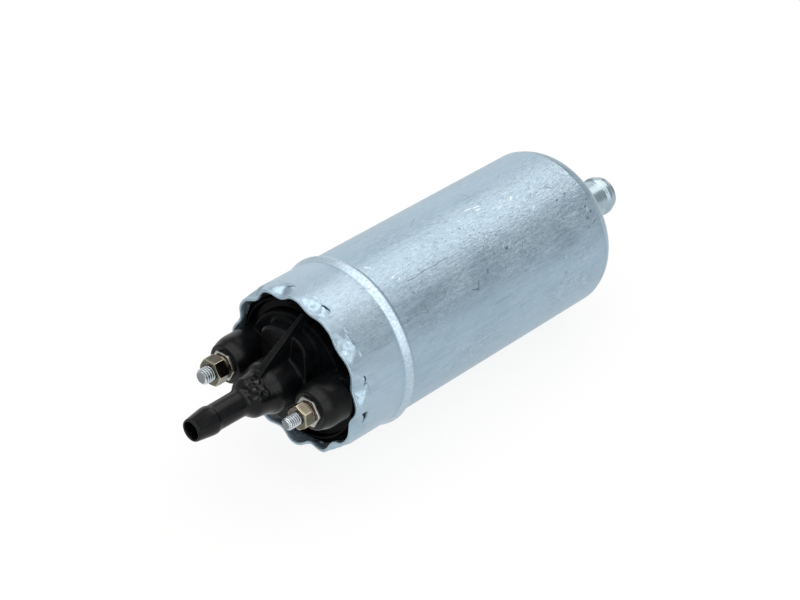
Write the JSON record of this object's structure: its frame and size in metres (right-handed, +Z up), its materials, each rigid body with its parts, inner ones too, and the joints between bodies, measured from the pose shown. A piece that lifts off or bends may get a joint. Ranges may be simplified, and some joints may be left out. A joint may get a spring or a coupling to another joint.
{
  "type": "electric fuel pump",
  "caption": "In-line electric fuel pump: cylindrical metal can with rolled bead and staked rim, black outlet cap with hose barb and threaded terminals, plain inlet spigot.",
  "frame": {"origin": "on the pump's axis, at the centre of the straight barrel that a clamp holds", "axes": "+X along the axis out of the outlet barb, +Z up, the two terminals on +Y and -Y"},
  "size_m": [0.181, 0.0544, 0.0544],
  "materials": {
    "satin_aluminium": "satin with fine drawing grain",
    "black_plastic": "semi-matte glass-filled nylon",
    "seal_rubber": "matte",
    "bright_steel": "zinc plated",
    "yellow_passivated_steel": "yellow passivated",
    "ground_steel": "ground",
    "sintered_steel": "sintered",
    "plate_aluminium": "machined",
    "yoke_steel": "zinc plated",
    "ferrite": "matte",
    "copper": "enamelled and bare copper",
    "bronze": "sintered bronze",
    "brass": "turned",
    "spring_steel": "drawn wire",
    "carbon": "pressed carbon",
    "pale_plastic": "moulded acetal",
    "film_case": "dipped"
  },
  "bodies": {
    "pump_body": {"housing_can": "satin_aluminium", "inlet_tube": "satin_aluminium", "outlet_cap": "black_plastic", "cap_o_ring": "seal_rubber", "wave_washer": "bright_steel", "terminal_stud_large": "bright_steel", "terminal_stud_small": "bright_steel", "terminal_plate_large": "bright_steel", "terminal_plate_small": "bright_steel", "spring_washer_large": "yellow_passivated_steel", "spring_washer_small": "yellow_passivated_steel", "terminal_nut_large": "yellow_passivated_steel", "terminal_nut_small": "yellow_passivated_steel", "choke_large": "copper", "choke_small": "copper", "capacitor": "film_case", "check_valve_seat": "brass", "check_valve_guide": "pale_plastic", "check_valve_spring": "spring_steel", "inlet_strainer": "pale_plastic", "inlet_plate": "plate_aluminium", "cam_ring": "ground_steel", "base_plate": "sintered_steel", "pump_end_bush": "bronze", "cap_end_bush": "bronze", "relief_valve_plug": "brass", "relief_valve_spring": "spring_steel", "flux_tube": "yoke_steel", "magnet_right": "ferrite", "magnet_left": "ferrite", "magnet_clip_upper": "yoke_steel", "magnet_clip_lower": "yoke_steel", "brush_holder": "pale_plastic", "brush_spring_right": "spring_steel", "brush_spring_left": "spring_steel"},
    "armature": {"armature_shaft": "ground_steel", "armature_core": "sintered_steel", "armature_windings": "copper", "commutator": "copper", "drive_coupling": "pale_plastic", "pump_rotor": "sintered_steel"},
    "roller_1": {"pump_roller_1": "ground_steel"},
    "roller_2": {"pump_roller_2": "ground_steel"},
    "roller_3": {"pump_roller_3": "ground_steel"},
    "roller_4": {"pump_roller_4": "ground_steel"},
    "roller_5": {"pump_roller_5": "ground_steel"},
    "check_plunger": {"check_valve_plunger": "pale_plastic"},
    "relief_ball": {"relief_valve_ball": "ground_steel"},
    "brush_right": {"brush_right": "carbon"},
    "brush_left": {"brush_left": "carbon"}
  },
  "joints": [
    {"name": "armature_spin", "type": "hinge", "parent": "pump_body", "child": "armature", "pos_m": [0, 0, 0], "axis": [1, 0, 0], "continuous": true},
    {"name": "roller_1_slide", "type": "slide", "parent": "armature", "child": "roller_1", "axis": [0, -0.309, 0.9511], "range_m": [0, 0.00087]},
    {"name": "roller_2_slide", "type": "slide", "parent": "armature", "child": "roller_2", "axis": [0, -1, 0], "range_m": [0, 0.00249]},
    {"name": "roller_3_slide", "type": "slide", "parent": "armature", "child": "roller_3", "axis": [0, -0.309, -0.9511], "range_m": [0, 0.00087]},
    {"name": "roller_4_slide", "type": "slide", "parent": "armature", "child": "roller_4", "axis": [0, 0.809, -0.5878], "range_m": [0, 0.00147]},
    {"name": "roller_5_slide", "type": "slide", "parent": "armature", "child": "roller_5", "axis": [0, 0.809, 0.5878], "range_m": [0, 0.00147]},
    {"name": "check_valve_slide", "type": "slide", "parent": "pump_body", "child": "check_plunger", "axis": [1, 0, 0], "range_m": [0, 0.002], "stiffness_N_per_m": 200, "springref_m": -0.003, "deforming": ["check_valve_spring"]},
    {"name": "relief_valve_slide", "type": "slide", "parent": "pump_body", "child": "relief_ball", "axis": [-1, 0, 0], "range_m": [0, 0.0012], "stiffness_N_per_m": 4000, "springref_m": -0.0015, "deforming": ["relief_valve_spring"]},
    {"name": "brush_right_slide", "type": "slide", "parent": "pump_body", "child": "brush_right", "axis": [0, 1, 0], "range_m": [0, 0.003], "stiffness_N_per_m": 300, "springref_m": -0.004, "deforming": ["brush_spring_right"]},
    {"name": "brush_left_slide", "type": "slide", "parent": "pump_body", "child": "brush_left", "axis": [0, -1, 0], "range_m": [0, 0.003], "stiffness_N_per_m": 300, "springref_m": -0.004, "deforming": ["brush_spring_left"]}
  ]
}
